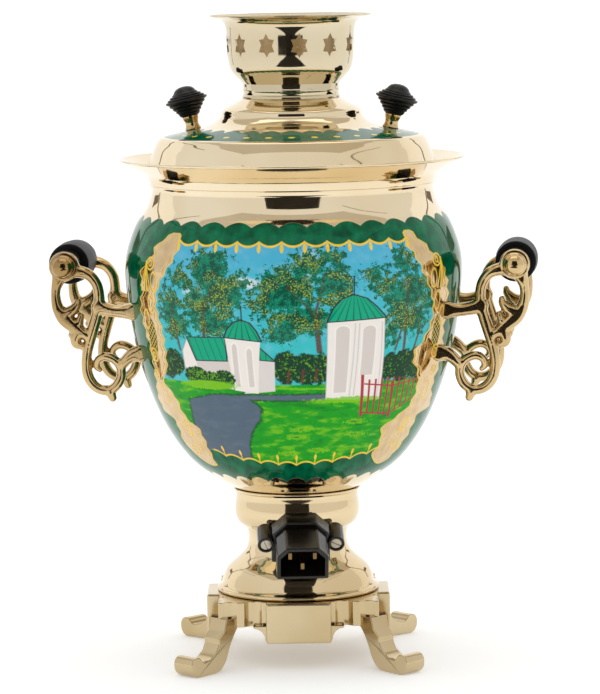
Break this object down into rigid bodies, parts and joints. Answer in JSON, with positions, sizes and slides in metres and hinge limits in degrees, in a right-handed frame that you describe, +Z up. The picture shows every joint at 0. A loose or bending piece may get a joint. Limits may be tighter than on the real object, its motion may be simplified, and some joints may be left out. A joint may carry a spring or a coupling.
{
  "type": "electric samovar",
  "caption": "Brass electric samovar with painted vessel, scroll handles, rear tap, lift-off lid with steam neck, pierced teapot ring and a mains inlet in its pedestal.",
  "frame": {"origin": "bottom centre of the whole object's box, on the plane of the four soles", "axes": "+Z up, -Y towards the mains inlet side, +Y towards the tap, +X to the right seen from the inlet side"},
  "size_m": [0.2834, 0.2471, 0.3729],
  "materials": {
    "polished_brass": "spun sheet brass, polished to a mirror and lacquered",
    "cast_brass": "sand-cast brass, filed and polished, edges softened",
    "painted_brass": "translucent green enamel over brass with hand-painted landscape panels and gold scrollwork, clear lacquered",
    "lid_enamel": "polished brass with a ring of translucent green enamel and gold brush marks",
    "tinned_brass": "tin-plated, semi-bright",
    "zinc_plated_steel": "zinc plated",
    "element_steel": "stainless heater tube, slightly heat tinted",
    "red_rubber": "silicone rubber, matt",
    "terminal_ceramic": "white ceramic bead",
    "black_plastic": "moulded black thermoset, satin gloss",
    "black_phenolic": "turned black phenolic, satin",
    "black_wood": "turned wood stained black, grooved, satin varnish",
    "brown_lead": "silicone-sleeved lead",
    "earth_lead": "green-yellow sleeved lead"
  },
  "bodies": {
    "samovar": {"base_casting": "cast_brass", "bottom_cover": "zinc_plated_steel", "tie_rod": "zinc_plated_steel", "tie_washer": "zinc_plated_steel", "tie_nut": "zinc_plated_steel", "pedestal": "polished_brass", "body_shell": "painted_brass", "vessel_floor": "tinned_brass", "top_ring": "polished_brass", "heater_element": "element_steel", "heater_bushes": "polished_brass", "heater_gaskets": "red_rubber", "heater_nuts": "polished_brass", "heater_terminals": "terminal_ceramic", "thermal_cutout": "black_plastic", "live_leads": "brown_lead", "earth_lead": "earth_lead", "inlet_housing": "black_plastic", "inlet_pins": "tinned_brass", "inlet_screws": "zinc_plated_steel", "inlet_nuts": "zinc_plated_steel", "bracket_left_front": "cast_brass", "bracket_left_rear": "cast_brass", "bracket_right_front": "cast_brass", "bracket_right_rear": "cast_brass", "grip_left": "black_phenolic", "grip_right": "black_phenolic", "grip_rod_left": "zinc_plated_steel", "grip_rod_right": "zinc_plated_steel", "grip_cap_nuts": "cast_brass", "handle_screws": "zinc_plated_steel", "tap_rosette": "cast_brass", "tap_gasket": "red_rubber", "tap_body": "cast_brass", "tap_wedge": "tinned_brass", "tap_backnut": "tinned_brass"},
    "lid_group": {"lid": "lid_enamel", "lid_spigot": "tinned_brass", "steam_plate": "polished_brass", "knob_stem_left": "polished_brass", "knob_stem_right": "polished_brass", "knob_left": "black_wood", "knob_right": "black_wood", "knob_screws": "zinc_plated_steel"},
    "ring_group": {"teapot_ring": "polished_brass", "ring_collar": "polished_brass"},
    "tap_plug_group": {"tap_plug": "polished_brass", "tap_key": "cast_brass", "plug_washer": "polished_brass", "plug_nut": "polished_brass"}
  },
  "joints": [
    {"name": "lid_lift", "type": "slide", "parent": "samovar", "child": "lid_group", "axis": [0, 0, 1], "range_m": [0, 0.12]},
    {"name": "ring_lift", "type": "slide", "parent": "lid_group", "child": "ring_group", "axis": [0, 0, 1], "range_m": [0, 0.06]},
    {"name": "tap_turn", "type": "hinge", "parent": "samovar", "child": "tap_plug_group", "pos_m": [0.01151, 0.09344, 0.137], "axis": [0, 0, 1], "range_deg": [0, 90]}
  ]
}
